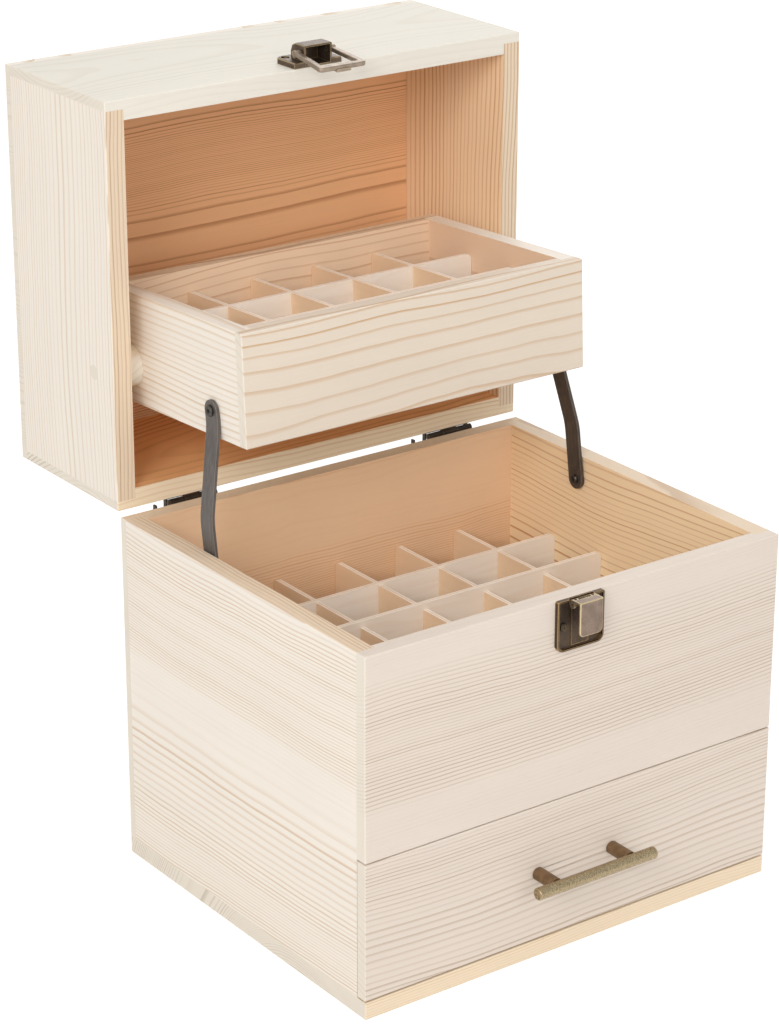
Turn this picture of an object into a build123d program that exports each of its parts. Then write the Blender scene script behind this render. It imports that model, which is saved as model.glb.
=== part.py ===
from build123d import *
import math
import os

# Wooden organizer box for small bottles: a base with a drawer, a hinged lid, and a tray that
# two steel links lift out of the lid as it opens. Sizes are in millimetres. X is to the right,
# Y to the back and Z up, with the origin at the centre of the base's underside.
# The model stands open: lid back on its hinge stops, tray raised, drawer shut.

# Case
case_width = 300.0
case_depth = 250.0
base_height = 224.0
lid_height = 114.0
bottom_thickness = 11.0
side_thickness = 12.0
front_thickness = 11.0
back_thickness = 11.0
front_lap = 8.0
back_lap = 6.0
lid_thickness = 12.5
lid_lap = 6.0
edge_radius = 0.8
screw_bite = 8.0
head_rounding = 0.45

# Bottle compartment in the base
front_panel_bottom = 99.0
floor_underside = 101.0
floor_thickness = 4.0
groove_depth = 4.0
divider_thickness = 3.2
divider_gap = 0.2
divider_slot_gap = 0.1
divider_corner = 3.0
base_divider_top = 162.5
base_columns = 6
base_rows = 5
base_long_rise = (1.0, 4.0, 1.0, 1.0)

# Drawer
drawer_joint_gap = 1.0
drawer_side_gap = 0.8
drawer_slide_gap = 0.3
drawer_board = 9.0
drawer_side_height = 81.0
drawer_back_gap = 9.3
drawer_floor_height = 4.0
drawer_floor_thickness = 3.0
drawer_groove = 3.0
drawer_front_rounding = 0.7

# Drawer handle
handle_height = 55.0
handle_hole_spacing = 55.0
handle_length = 88.0
handle_stand_off = 20.0
handle_bar_radius = 3.8
handle_post_radius = 4.1
handle_post_start = 2.66
handle_end_rounding = 1.33
handle_post_rounding = 0.82
handle_screw_radius = 2.0
handle_head_radius = 4.0
handle_head_height = 2.0

# Hinges of the lid, on the back of the case
hinge_offset = 2.6
hinge_centre_x = 97.5
hinge_length = 34.0
hinge_leaf_height = 22.0
hinge_leaf_thickness = 1.2
hinge_knuckle_radius = 2.1
hinge_pin_radius = 1.1
hinge_stop_reach = 18.0
hinge_stop_drop = 20.0
hinge_screw_spacing = 18.0
hinge_screw_drop = 12.0
hinge_screw_radius = 1.5
hinge_head_radius = 2.8
hinge_head_height = 1.1
hinge_edge_gap = 0.3
hinge_end_gap = 0.15
hinge_pin_end = 0.4
hinge_stop_gap = 0.1
hinge_wing_rest = 2.8
hinge_wing_dip = 10.0
hinge_wing_tip_width = 3.0
hinge_wing_tip_drop = 6.8
hinge_wing_tip_foot = 11.0
hinge_wing_gap = 0.6
hinge_wing_neck = 0.8
hinge_wing_bite = 0.2

# Tray
tray_wall_gap = 13.7
tray_depth = 152.5
tray_height = 68.5
tray_board = 11.0
tray_lap = 6.5
tray_floor_height = 5.0
tray_floor_thickness = 4.0
tray_divider_drop = 13.8
tray_columns = 5
tray_rows = 3
tray_tilt = -2.95

# Linkage that carries the tray. Places are from the lid's hinge axis with the lid open.
tray_pivot_back = 22.19
tray_pivot_up = 84.3
link_foot_back = -82.02
link_foot_up = -15.36
tray_pivot_from_front = 122.0
tray_pivot_above_bottom = 23.9
link_screw_from_front = 32.69
link_screw_above_bottom = 16.51
link_width = 12.6
link_thickness = 2.0
link_wall_gap = 0.6
washer_radius = 5.5
washer_gap = 0.1
link_side_gap = 0.4
link_head_gap = 0.3
link_top_screw_radius = 1.2
link_top_play = 2.05
link_foot_screw_radius = 1.6
link_head_radius = 3.0
link_head_height = 1.4
link_head_bevel = 0.5
tray_screw_head_radius = 3.5
link_socket_radius = 1.4
link_socket_depth = 0.8
jog_start_share = 0.36
jog_end_share = 0.90
jog_bend_radius = 50.0
pivot_pin_radius = 3.0
pivot_pin_inset = 1.0
pivot_plug_radius = 4.5
pivot_plug_depth = 3.0
spacer_radius = 13.0
spacer_gap = 0.3
spacer_rounding = 1.0

# Latch, a little left of centre
latch_x = -2.0
latch_width = 34.0
latch_sheet = 1.2
latch_rim = 2.8
latch_corner = 5.0
catch_top_corner = 1.5
latch_rim_rounding = 0.6
latch_pad = 3.6
latch_pad_rounding = 1.2
latch_recess_radius = 2.9
latch_edge_gap = 0.4
catch_height = 31.6
latch_plate_height = 21.6
latch_screw_radius = 1.3
latch_head_radius = 2.6
latch_head_height = 1.1
catch_screw_spacing = 23.4
catch_screw_drop = 17.0
latch_screw_rise = 16.7
latch_screw_spacing = 25.0
ring_width = 34.0
ring_top_width = 29.0
ring_reach = 28.6
ring_bar = 4.0
ring_arm = 4.0
ring_thickness = 2.8
ring_eye_radius = 2.2
ring_pin_radius = 1.1
ring_pivot_out = 8.1
ring_pivot_rise = 4.5
ring_tilt = 7.2
ring_outer_corner = 2.5
ring_inner_corner = 1.2
ring_rounding = 0.7
ring_lug_width = 10.0
ring_lug_height = 3.4
ring_lug_depth = 1.0
ring_lug_offset = 1.2
ring_lug_bite = 0.8
ring_pin_cover = 1.2
ring_pin_end_gap = 0.1
hood_width = 20.0
hood_out = 13.2
hood_high = 15.0
hood_corner = 5.0
hood_inner_corner = 4.5
hood_rounding = 1.0
hood_bite = 0.5
lever_width = 16.6
lever_out = 12.0
lever_top_drop = 0.2
lever_bottom_drop = 21.0
lever_sheet = 1.2
lever_rounding = 0.9
lever_pin_radius = 0.9
lever_pivot_out = 4.3
lever_pivot_drop = 3.0
lever_slot_width = 9.0
lever_slot_from = 1.8
lever_slot_to = 0.6
lever_corner = 3.0
lever_lug_radius = 2.4
lever_notch_gap = 0.4
lever_top_end = 1.2
ear_gap = 0.3
ear_top_gap = 0.2
rest_width = 12.4
rest_rise = 2.6
rest_height = 23.0
rest_out = 0.5

running_gap = 0.05

# Places that follow from the sizes
half_width = case_width / 2
half_depth = case_depth / 2
front_face = -half_depth
back_face = half_depth
inner_x = half_width - side_thickness
inner_front = front_face + front_thickness
inner_back = back_face - back_thickness
lid_inner_x = half_width - lid_thickness
lid_top = base_height + lid_height
floor_top = floor_underside + floor_thickness
axis_y = back_face + hinge_offset
axis_z = base_height
tray_half = lid_inner_x - tray_wall_gap
pivot_y = axis_y + tray_pivot_back
pivot_z = axis_z + tray_pivot_up
foot_y = axis_y + link_foot_back
foot_z = axis_z + link_foot_up

open_lid = Pos(0, axis_y, axis_z) * Rot(-90, 0, 0) * Pos(0, -axis_y, -axis_z)
raise_tray = (
    Pos(0, pivot_y, pivot_z) * Rot(tray_tilt, 0, 0) * Pos(0, -tray_pivot_from_front, -tray_pivot_above_bottom)
)
left_right = (-1, 1)


def save(name, shape):
    """Writes one piece, or one group of like pieces, under its name."""
    export_step(Compound(children=list(shape)) if isinstance(shape, list) else shape, f"parts/{name}.step")


def block(x0, x1, y0, y1, z0, z1):
    """A box between two corners."""
    return Pos(x0, y0, z0) * Box(x1 - x0, y1 - y0, z1 - z0, align=(Align.MIN, Align.MIN, Align.MIN))


def x_rod(x0, x1, y, z, radius):
    """A round bar along X."""
    bar = Cylinder(radius, x1 - x0, align=(Align.CENTER, Align.CENTER, Align.MIN))
    return Pos(x0, y, z) * Rot(0, 90, 0) * bar


def y_rod(x, y0, y1, z, radius):
    """A round bar along Y."""
    bar = Cylinder(radius, y1 - y0, align=(Align.CENTER, Align.CENTER, Align.MIN))
    return Pos(x, y0, z) * Rot(-90, 0, 0) * bar


def side_profile(x0, x1, points):
    """A polygon of (y, z) points, drawn out along X."""
    return Pos(x0, 0, 0) * extrude(Plane.YZ * Polygon(*points, align=None), x1 - x0, dir=(1, 0, 0))


def mirrored(shape):
    """The same piece for the other side."""
    return mirror(shape, about=Plane.YZ)


def ease(shape, low, high, radius):
    """Rounds the edges of a board that lie on the outer edges of the box from low to high."""

    def outer(edge):
        ends = [vertex.center() for vertex in edge.vertices()]
        shared = 0
        for index, axis in enumerate("XYZ"):
            for limit in (low[index], high[index]):
                shared += all(abs(getattr(end, axis) - limit) < 0.01 for end in ends)
        return len(ends) == 2 and shared >= 2

    return fillet(shape.edges().filter_by(outer), radius)


def pan_screw(x, y, z, direction, radius, length, head_radius, head_height):
    """A screw along Y whose head sits on the face at y. Direction is the way the shank goes."""
    if direction > 0:
        shank = y_rod(x, y, y + length, z, radius)
        head = y_rod(x, y - head_height, y, z, head_radius)
        outer_face = y - head_height
    else:
        shank = y_rod(x, y - length, y, z, radius)
        head = y_rod(x, y, y + head_height, z, head_radius)
        outer_face = y + head_height
    rim = head.edges().filter_by(lambda edge: abs(edge.center().Y - outer_face) < 0.01)
    head = fillet(rim, head_height * head_rounding)
    slot = head_radius * 0.26
    cross = Box(head_radius * 1.1, head_height, slot) + Box(slot, head_height, head_radius * 1.1)
    return head + shank - Pos(x, outer_face, z) * cross


# Base
base_box = ((-half_width, front_face, 0), (half_width, back_face, base_height))
side_front_end = front_face + front_lap
side_back_end = back_face - back_lap

compartment_floor = block(
    -inner_x - groove_depth,
    inner_x + groove_depth,
    inner_front - groove_depth,
    inner_back + groove_depth,
    floor_underside,
    floor_top,
)

catch_screw_z = base_height - catch_screw_drop
catch_screws = [
    pan_screw(
        latch_x + side * catch_screw_spacing / 2,
        front_face - latch_sheet,
        catch_screw_z,
        1,
        latch_screw_radius,
        latch_sheet + screw_bite,
        latch_head_radius,
        latch_head_height,
    )
    for side in left_right
]


def hinge_screws(z):
    """Four screws through the hinge leaves at height z of the closed case."""
    return [
        pan_screw(
            hinge * hinge_centre_x + side * hinge_screw_spacing / 2,
            back_face + hinge_leaf_thickness,
            z,
            -1,
            hinge_screw_radius,
            hinge_leaf_thickness + screw_bite,
            hinge_head_radius,
            hinge_head_height,
        )
        for hinge in left_right
        for side in left_right
    ]


hinge_base_screws = hinge_screws(base_height - hinge_screw_drop)
hinge_lid_screws = hinge_screws(base_height + hinge_screw_drop)


def less(shape, cutters):
    """The shape with each cutter's room taken out of it."""
    for cutter in cutters:
        shape = shape - cutter
    return shape


link_outer_x = lid_inner_x - link_wall_gap
link_foot_x = link_outer_x - link_thickness
link_top_x = tray_half + link_side_gap


def link_foot_screw():
    """The screw and washer that carry the right link's foot."""
    head_x = link_foot_x - link_head_gap - link_head_height
    screw = x_rod(head_x, inner_x + screw_bite, foot_y, foot_z, link_foot_screw_radius)
    head = x_rod(head_x, head_x + link_head_height, foot_y, foot_z, link_head_radius)
    rim = head.edges().filter_by(lambda edge: abs(edge.center().X - head_x) < 0.01)
    socket = x_rod(head_x, head_x + link_socket_depth, foot_y, foot_z, link_socket_radius)
    head = chamfer(rim, link_head_bevel)
    washer = x_rod(link_outer_x + washer_gap, inner_x, foot_y, foot_z, washer_radius) - screw
    return screw + head - socket, washer


foot_screw, foot_washer = link_foot_screw()
link_base_screws = [foot_screw, foot_washer, mirrored(foot_screw), mirrored(foot_washer)]


def build_base():
    """The fixed case: boards, compartment floor and dividers."""
    bottom = block(-half_width, half_width, front_face, back_face, 0, bottom_thickness)
    save("bottom_board", ease(bottom, *base_box, edge_radius))

    right = block(inner_x, half_width, side_front_end, side_back_end, bottom_thickness, base_height)
    right = less(ease(right, *base_box, edge_radius), [compartment_floor, foot_screw])
    save("base_right_side", right)
    save("base_left_side", mirrored(right))

    back = block(-half_width, half_width, side_back_end, back_face, bottom_thickness, base_height)
    back += block(-inner_x, inner_x, inner_back, side_back_end, bottom_thickness, base_height)
    back = less(ease(back, *base_box, edge_radius), [compartment_floor, *hinge_base_screws])
    save("base_back_panel", back)

    front = block(-half_width, half_width, front_face, side_front_end, front_panel_bottom, base_height)
    front += block(-inner_x, inner_x, side_front_end, inner_front, front_panel_bottom, base_height)
    front = less(ease(front, *base_box, edge_radius), [compartment_floor, *catch_screws])
    save("upper_front_panel", front)
    save("compartment_floor", compartment_floor)


def divider_grid(name, columns, rows, room, rises, place=Pos(0, 0, 0)):
    """Thin boards halved into each other. Columns and rows are their middles in x and y.
    Rises say how far each long divider stands above the cross dividers."""
    x0, x1, y0, y1, z0, z1 = room
    half_lap = (z0 + z1) / 2
    slot = divider_thickness / 2 + divider_slot_gap
    half = divider_thickness / 2
    for number, x in enumerate(columns, 1):
        board = block(x - half, x + half, y0 + divider_gap, y1 - divider_gap, z0, z1)
        corners = board.edges().filter_by(Axis.X).group_by(Axis.Z)[-1]
        board = fillet(corners, divider_corner)
        cuts = [block(x - half, x + half, y - slot, y + slot, half_lap, z1) for y in rows]
        save(f"{name}_cross_divider_{number}", place * less(board, cuts))
    for number, (y, rise) in enumerate(zip(rows, rises), 1):
        board = block(x0 + divider_gap, x1 - divider_gap, y - half, y + half, z0, z1 + rise)
        corners = board.edges().filter_by(Axis.Y).group_by(Axis.Z)[-1]
        board = fillet(corners, divider_corner)
        cuts = [block(x - slot, x + slot, y - half, y + half, z0, half_lap) for x in columns]
        save(f"{name}_long_divider_{number}", place * less(board, cuts))


def even_places(low, high, cells):
    """Middles of the dividers that part the room from low to high into equal cells."""
    pitch = (high - low + divider_thickness) / cells
    return [low - divider_thickness / 2 + pitch * number for number in range(1, cells)]


def build_base_dividers():
    columns = even_places(-inner_x, inner_x, base_columns)
    rows = even_places(inner_front, inner_back, base_rows)[::-1]
    room = (-inner_x, inner_x, inner_front, inner_back, floor_top, base_divider_top)
    divider_grid("base", columns, rows, room, base_long_rise)


def build_drawer():
    """The drawer, whose front covers the ends of the case sides."""
    front_back = side_front_end - drawer_slide_gap
    low = bottom_thickness + drawer_slide_gap
    high = low + drawer_side_height
    outer_x = inner_x - drawer_side_gap
    box_x = outer_x - drawer_board
    end = inner_back - drawer_back_gap
    floor_low = low + drawer_floor_height
    floor = block(
        -box_x - drawer_groove,
        box_x + drawer_groove,
        front_back - drawer_groove,
        end - drawer_board + drawer_groove,
        floor_low,
        floor_low + drawer_floor_thickness,
    )
    screws = [
        pan_screw(
            side * handle_hole_spacing / 2,
            front_back,
            handle_height,
            -1,
            handle_screw_radius,
            front_back - front_face + screw_bite,
            handle_head_radius,
            handle_head_height,
        )
        for side in left_right
    ]
    front_low = bottom_thickness + drawer_joint_gap
    front_high = front_panel_bottom - drawer_joint_gap
    front = block(-half_width, half_width, front_face, front_back, front_low, front_high)
    vertical = front.edges().filter_by(Axis.Z).group_by(Axis.Y)[0]
    level = front.edges().filter_by(Axis.X).group_by(Axis.Y)[0]
    front = fillet(vertical + level, drawer_front_rounding)
    save("drawer_front", less(front, [floor, *screws]))
    right = block(box_x, outer_x, front_back, end, low, high) - floor
    save("drawer_right_side", right)
    save("drawer_left_side", mirrored(right))
    save("drawer_back", block(-box_x, box_x, end - drawer_board, end, low, high) - floor)
    save("drawer_floor", floor)

    bar_y = front_face - handle_stand_off
    bar = x_rod(-handle_length / 2, handle_length / 2, bar_y, handle_height, handle_bar_radius)
    bar = fillet(bar.edges().filter_by(GeomType.CIRCLE), handle_end_rounding)
    save("handle_bar", bar)
    posts = []
    for side in left_right:
        x = side * handle_hole_spacing / 2
        post = y_rod(x, bar_y + handle_post_start, front_face, handle_height, handle_post_radius)
        base_rim = post.edges().filter_by(GeomType.CIRCLE).group_by(Axis.Y)[-1]
        post = fillet(base_rim, handle_post_rounding)
        posts.append(less(post, [bar, *screws]))
    save("handle_posts", posts)
    save("handle_screws", screws)


def knuckle(x0, x1, hole_radius):
    """One barrel of a hinge on the lid's axis."""
    barrel = x_rod(x0, x1, axis_y, axis_z, hinge_knuckle_radius)
    return barrel, x_rod(x0, x1, axis_y, axis_z, hole_radius)


def build_hinges():
    """Two stop hinges. The base leaves carry wings that the open lid's leaves rest on."""
    leaf_back = back_face + hinge_leaf_thickness
    notch = hinge_knuckle_radius + hinge_edge_gap
    half = hinge_length / 2
    middle = hinge_length / 6
    wing_top = axis_z + hinge_offset - hinge_leaf_thickness - hinge_stop_gap
    base_leaves, lid_leaves, pins = [], [], []
    for side in left_right:
        centre = side * hinge_centre_x
        left, right = centre - half, centre + half
        inner_left, inner_right = centre - middle, centre + middle

        leaf = block(left, right, back_face, leaf_back, axis_z - hinge_leaf_height, axis_z - hinge_edge_gap)
        gap_left, gap_right = inner_left - hinge_end_gap, inner_right + hinge_end_gap
        leaf -= block(gap_left, gap_right, back_face, leaf_back, axis_z - notch, axis_z)
        holes = []
        for x0, x1 in ((left, gap_left), (gap_right, right)):
            barrel, hole = knuckle(x0, x1, hinge_pin_radius)
            web = block(x0, x1, back_face, axis_y, axis_z - hinge_knuckle_radius, axis_z - hinge_edge_gap)
            leaf += barrel + web
            holes.append(hole)
        wing_front = axis_y + notch + hinge_wing_gap
        tip_back = axis_y + hinge_stop_reach
        tip_front = tip_back - hinge_wing_tip_width
        wing = [
            (leaf_back - hinge_wing_bite, axis_z - hinge_stop_drop),
            (tip_back, axis_z - hinge_wing_tip_foot),
            (tip_back, axis_z - hinge_wing_tip_drop),
            (tip_front, axis_z - hinge_wing_tip_drop),
            (tip_front, axis_z - hinge_wing_dip),
            (wing_front + hinge_wing_rest, axis_z - hinge_wing_dip),
            (wing_front + hinge_wing_rest, wing_top),
            (wing_front, wing_top),
            (wing_front, axis_z - notch - hinge_wing_neck),
            (leaf_back - hinge_wing_bite, axis_z - notch - hinge_wing_neck),
        ]
        for x0 in (left, right - hinge_leaf_thickness):
            leaf += side_profile(x0, x0 + hinge_leaf_thickness, wing)
        base_leaves.append(less(leaf, holes + hinge_base_screws))

        leaf = block(left, right, back_face, leaf_back, axis_z + hinge_edge_gap, axis_z + hinge_leaf_height)
        for x0, x1 in ((left, inner_left), (inner_right, right)):
            leaf -= block(x0, x1, back_face, leaf_back, axis_z, axis_z + notch)
        barrel, hole = knuckle(inner_left, inner_right, hinge_pin_radius + running_gap)
        web_low, web_high = axis_z + hinge_edge_gap, axis_z + hinge_knuckle_radius
        web = block(inner_left, inner_right, back_face, axis_y, web_low, web_high)
        leaf = less(leaf + barrel + web, [hole, *hinge_lid_screws])
        lid_leaves.append(open_lid * leaf)
        pins.append(x_rod(left - hinge_pin_end, right + hinge_pin_end, axis_y, axis_z, hinge_pin_radius))
    save("hinge_base_leaves", base_leaves)
    save("hinge_lid_leaves", lid_leaves)
    save("hinge_pins", pins)
    save("hinge_base_screws", hinge_base_screws)
    save("hinge_lid_screws", [open_lid * screw for screw in hinge_lid_screws])


# Lid, drawn closed and then turned back on its hinges
lid_box = ((-half_width, front_face, base_height), (half_width, back_face, lid_top))
latch_screw_z = base_height + latch_screw_rise
latch_screws = [
    pan_screw(
        latch_x + side * latch_screw_spacing / 2,
        front_face - latch_sheet,
        latch_screw_z,
        1,
        latch_screw_radius,
        latch_sheet + screw_bite,
        latch_head_radius,
        latch_head_height,
    )
    for side in left_right
]


def closed_pivot():
    """Where the tray's pivot lies with the lid closed: a quarter turn about the hinge axis."""
    return axis_y - tray_pivot_up, axis_z + tray_pivot_back


def build_lid():
    """The lid's boards, with the tray's pivot pins and the plugs over them."""
    lap_top = lid_top - lid_lap
    front = block(-half_width, half_width, front_face, front_face + lid_lap, base_height, lap_top)
    front += block(
        -lid_inner_x, lid_inner_x, front_face + lid_lap, front_face + lid_thickness, base_height, lap_top
    )
    back = block(-half_width, half_width, back_face - lid_lap, back_face, base_height, lap_top)
    back += block(
        -lid_inner_x, lid_inner_x, back_face - lid_thickness, back_face - lid_lap, base_height, lap_top
    )
    top = block(-half_width, half_width, front_face, back_face, lap_top, lid_top)
    top += block(
        -lid_inner_x,
        lid_inner_x,
        front_face + lid_thickness,
        back_face - lid_thickness,
        lid_top - lid_thickness,
        lap_top,
    )
    y, z = closed_pivot()
    pin = x_rod(tray_half - tray_board + pivot_pin_inset, half_width - pivot_plug_depth, y, z, pivot_pin_radius)
    plug = x_rod(half_width - pivot_plug_depth, half_width, y, z, pivot_plug_radius)
    right = block(lid_inner_x, half_width, front_face + lid_lap, back_face - lid_lap, base_height, lap_top)
    right = less(ease(right, *lid_box, edge_radius), [pin, plug])
    save("lid_front_panel", open_lid * less(ease(front, *lid_box, edge_radius), latch_screws))
    save("lid_back_panel", open_lid * less(ease(back, *lid_box, edge_radius), hinge_lid_screws))
    save("lid_top_panel", open_lid * ease(top, *lid_box, edge_radius))
    save("lid_right_side", open_lid * right)
    save("lid_left_side", open_lid * mirrored(right))
    save("tray_pivot_pins", [open_lid * pin, open_lid * mirrored(pin)])
    save("pivot_plugs", [open_lid * plug, open_lid * mirrored(plug)])


def build_tray():
    """The tray, drawn from its own front bottom edge and then hung on its pivots."""
    inner = tray_half - tray_board
    floor = block(
        -inner - groove_depth,
        inner + groove_depth,
        tray_board - groove_depth,
        tray_depth - tray_board + groove_depth,
        tray_floor_height,
        tray_floor_height + tray_floor_thickness,
    )
    box = ((-tray_half, 0, 0), (tray_half, tray_depth, tray_height))
    front = block(-tray_half, tray_half, 0, tray_lap, 0, tray_height)
    front += block(-inner, inner, tray_lap, tray_board, 0, tray_height)
    rear = block(-tray_half, tray_half, tray_depth - tray_lap, tray_depth, 0, tray_height)
    rear += block(-inner, inner, tray_depth - tray_board, tray_depth - tray_lap, 0, tray_height)
    screw_place = (link_screw_from_front, link_screw_above_bottom)
    head_x = link_top_x + link_thickness + link_head_gap
    head_end = head_x + link_head_height
    head = x_rod(head_x, head_end, *screw_place, tray_screw_head_radius)
    rim = head.edges().filter_by(lambda edge: abs(edge.center().X - head_end) < 0.01)
    screw = x_rod(tray_half - screw_bite, head_end, *screw_place, link_top_screw_radius)
    screw += chamfer(rim, link_head_bevel)
    screw -= x_rod(head_end - link_socket_depth, head_end, *screw_place, link_socket_radius)
    pivot_place = (tray_pivot_from_front, tray_pivot_above_bottom)
    pivot = x_rod(inner, lid_inner_x, *pivot_place, pivot_pin_radius + running_gap)
    spacer = x_rod(tray_half, lid_inner_x - spacer_gap, *pivot_place, spacer_radius)
    outer_rim = spacer.edges().filter_by(GeomType.CIRCLE).group_by(Axis.X)[-1]
    spacer = fillet(outer_rim, spacer_rounding) - pivot
    right = block(inner, tray_half, tray_lap, tray_depth - tray_lap, 0, tray_height)
    right = less(ease(right, *box, edge_radius), [floor, screw, pivot])
    save("tray_front_panel", raise_tray * (ease(front, *box, edge_radius) - floor))
    save("tray_back_panel", raise_tray * (ease(rear, *box, edge_radius) - floor))
    save("tray_right_side", raise_tray * right)
    save("tray_left_side", raise_tray * mirrored(right))
    save("tray_floor", raise_tray * floor)
    save("pivot_spacers", [raise_tray * spacer, raise_tray * mirrored(spacer)])
    save("link_tray_screws", [raise_tray * screw, raise_tray * mirrored(screw)])

    columns = even_places(-inner, inner, tray_columns)
    rows = even_places(tray_board, tray_depth - tray_board, tray_rows)
    low = tray_floor_height + tray_floor_thickness
    room = (-inner, inner, tray_board, tray_depth - tray_board, low, tray_height - tray_divider_drop)
    divider_grid("tray", columns, rows, room, [0] * len(rows), raise_tray)


def build_links():
    """Steel straps from the case sides to the tray, jogged inwards to the narrower tray."""
    top = raise_tray * Vertex(0, link_screw_from_front, link_screw_above_bottom)
    rise_y, rise_z = top.center().Y - foot_y, top.center().Z - foot_z
    length = math.hypot(rise_y, rise_z)
    end = link_width / 2
    jog_start, jog_end = length * jog_start_share, length * jog_end_share
    outline = [
        (link_foot_x, -end),
        (link_foot_x, jog_start),
        (link_top_x, jog_end),
        (link_top_x, length + end),
        (link_top_x + link_thickness, length + end),
        (link_top_x + link_thickness, jog_end),
        (link_foot_x + link_thickness, jog_start),
        (link_foot_x + link_thickness, -end),
    ]
    face = Plane.XZ * Polygon(*outline, align=None)
    strap = Pos(0, -end, 0) * extrude(face, link_width, dir=(0, 1, 0))
    bends = strap.edges().filter_by(Axis.Y)
    bends = bends.filter_by(lambda edge: jog_start - 1 < edge.center().Z < jog_end + 1)
    strap = fillet(bends, jog_bend_radius)
    ends = block(0, half_width, -end, end, 0, length)
    ends += x_rod(0, half_width, 0, 0, end) + x_rod(0, half_width, 0, length, end)
    strap &= ends
    strap -= x_rod(0, half_width, 0, 0, link_foot_screw_radius + running_gap)
    strap -= x_rod(0, half_width, 0, length, link_top_screw_radius + link_top_play)
    right = Pos(0, foot_y, foot_z) * Rot(-math.degrees(math.atan2(rise_y, rise_z)), 0, 0) * strap
    save("right_link", right)
    save("left_link", mirrored(right))


def build_catch():
    """The base's half of the latch: a rimmed plate with a raised middle and a lever on a pin."""
    high = base_height - latch_edge_gap
    low = high - catch_height
    left, right = latch_x - latch_width / 2, latch_x + latch_width / 2
    plate = block(left, right, front_face - latch_rim, front_face, low, high)
    plate = fillet(plate.edges().filter_by(Axis.Y).group_by(Axis.Z)[0], latch_corner)
    plate = fillet(plate.edges().filter_by(Axis.Y).group_by(Axis.Z)[-1], catch_top_corner)
    plate = fillet(plate.faces().sort_by(Axis.Y)[0].edges(), latch_rim_rounding)
    rim_back = front_face - latch_sheet
    room_left, room_right = left + latch_sheet, right - latch_sheet
    room = block(room_left, room_right, front_face - latch_rim, rim_back, low + latch_sheet, high - latch_sheet)
    room = fillet(room.edges().filter_by(Axis.Y).group_by(Axis.Z)[0], latch_corner - latch_sheet)
    lever_half = lever_width / 2
    lever_inner = lever_half - lever_sheet
    notch = lever_half + lever_notch_gap
    plate -= room
    plate -= block(latch_x - notch, latch_x + notch, front_face - latch_rim, rim_back, high - latch_sheet, high)
    pivot_at_y = front_face - lever_pivot_out
    pivot_at_z = base_height - lever_pivot_drop
    ear_outer = lever_inner - ear_gap
    ear_radius = lever_pivot_drop - lever_top_drop - lever_sheet - ear_top_gap
    for side in left_right:
        x0, x1 = sorted((latch_x + side * ear_outer, latch_x + side * (ear_outer - latch_sheet)))
        ear_low, ear_high = pivot_at_z - ear_radius, pivot_at_z + ear_radius
        ear = block(x0, x1, pivot_at_y, front_face - hood_bite, ear_low, ear_high)
        plate += ear + x_rod(x0, x1, pivot_at_y, pivot_at_z, ear_radius)
    rest_low = low + rest_rise
    rest = block(
        latch_x - rest_width / 2,
        latch_x + rest_width / 2,
        rim_back - rest_out,
        front_face - hood_bite,
        rest_low,
        rest_low + rest_height,
    )
    pin = x_rod(latch_x - lever_half, latch_x + lever_half, pivot_at_y, pivot_at_z, lever_pin_radius)
    save("catch_plate", less(plate + rest, [pin, *catch_screws]))
    save("catch_lever_pin", pin)
    save("catch_screws", catch_screws)

    lever_top = base_height - lever_top_drop
    lever_low = base_height - lever_bottom_drop
    lever_front = front_face - lever_out
    round_off = lever_top - pivot_at_z
    back = pivot_at_y + round_off
    tongue = block(
        latch_x - lever_half, latch_x + lever_half, lever_front, lever_front + lever_sheet, lever_low, lever_top
    )
    tongue = fillet(tongue.edges().filter_by(Axis.Y).group_by(Axis.Z)[0], lever_corner)
    tongue = fillet(tongue.edges().group_by(Axis.Y)[0], lever_rounding)
    lever = tongue + block(
        latch_x - lever_half,
        latch_x + lever_half,
        lever_front + lever_sheet / 2,
        back,
        lever_top - lever_sheet,
        lever_top,
    )
    for side in left_right:
        x0, x1 = sorted((latch_x + side * lever_inner, latch_x + side * lever_half))
        lever += x_rod(x0, x1, pivot_at_y, pivot_at_z, lever_lug_radius)
        lug_front, lug_back = pivot_at_y - lever_lug_radius, pivot_at_y + lever_lug_radius
        lever += block(x0, x1, lug_front, lug_back, pivot_at_z, lever_top)
    corner = block(latch_x - lever_half, latch_x + lever_half, pivot_at_y, back, pivot_at_z, lever_top)
    lever -= corner - x_rod(latch_x - lever_half, latch_x + lever_half, pivot_at_y, pivot_at_z, round_off)
    for side in left_right:
        x0, x1 = sorted((latch_x + side * lever_inner, latch_x + side * (ear_outer - latch_sheet - ear_gap)))
        lever -= block(x0, x1, pivot_at_y - lever_top_end, back, pivot_at_z, lever_top)
    lever -= block(
        latch_x - lever_slot_width / 2,
        latch_x + lever_slot_width / 2,
        pivot_at_y - lever_slot_from,
        pivot_at_y + lever_slot_to,
        lever_top - lever_sheet * 2,
        lever_top,
    )
    lever -= x_rod(
        latch_x - lever_half, latch_x + lever_half, pivot_at_y, pivot_at_z, lever_pin_radius + running_gap
    )
    save("catch_lever", lever)


def hood_profile(inner, outer, low, high, corner):
    """A (y, z) outline off the front face whose upper outer corner is cut back in two steps."""
    y = front_face - outer
    return [
        (front_face - inner, low),
        (y, low),
        (y, high - corner),
        (y + corner * 0.3, high - corner * 0.3),
        (y + corner, high),
        (front_face - inner, high),
    ]


def tapered(top_half, low_half, low, thick):
    """A plate that hangs in the XZ plane from z = 0 down to low and gets wider or narrower downwards."""
    outline = [(-top_half, 0), (top_half, 0), (low_half, low), (-low_half, low)]
    return extrude(Plane.XZ * Polygon(*outline, align=None), thick, both=True)


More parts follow.
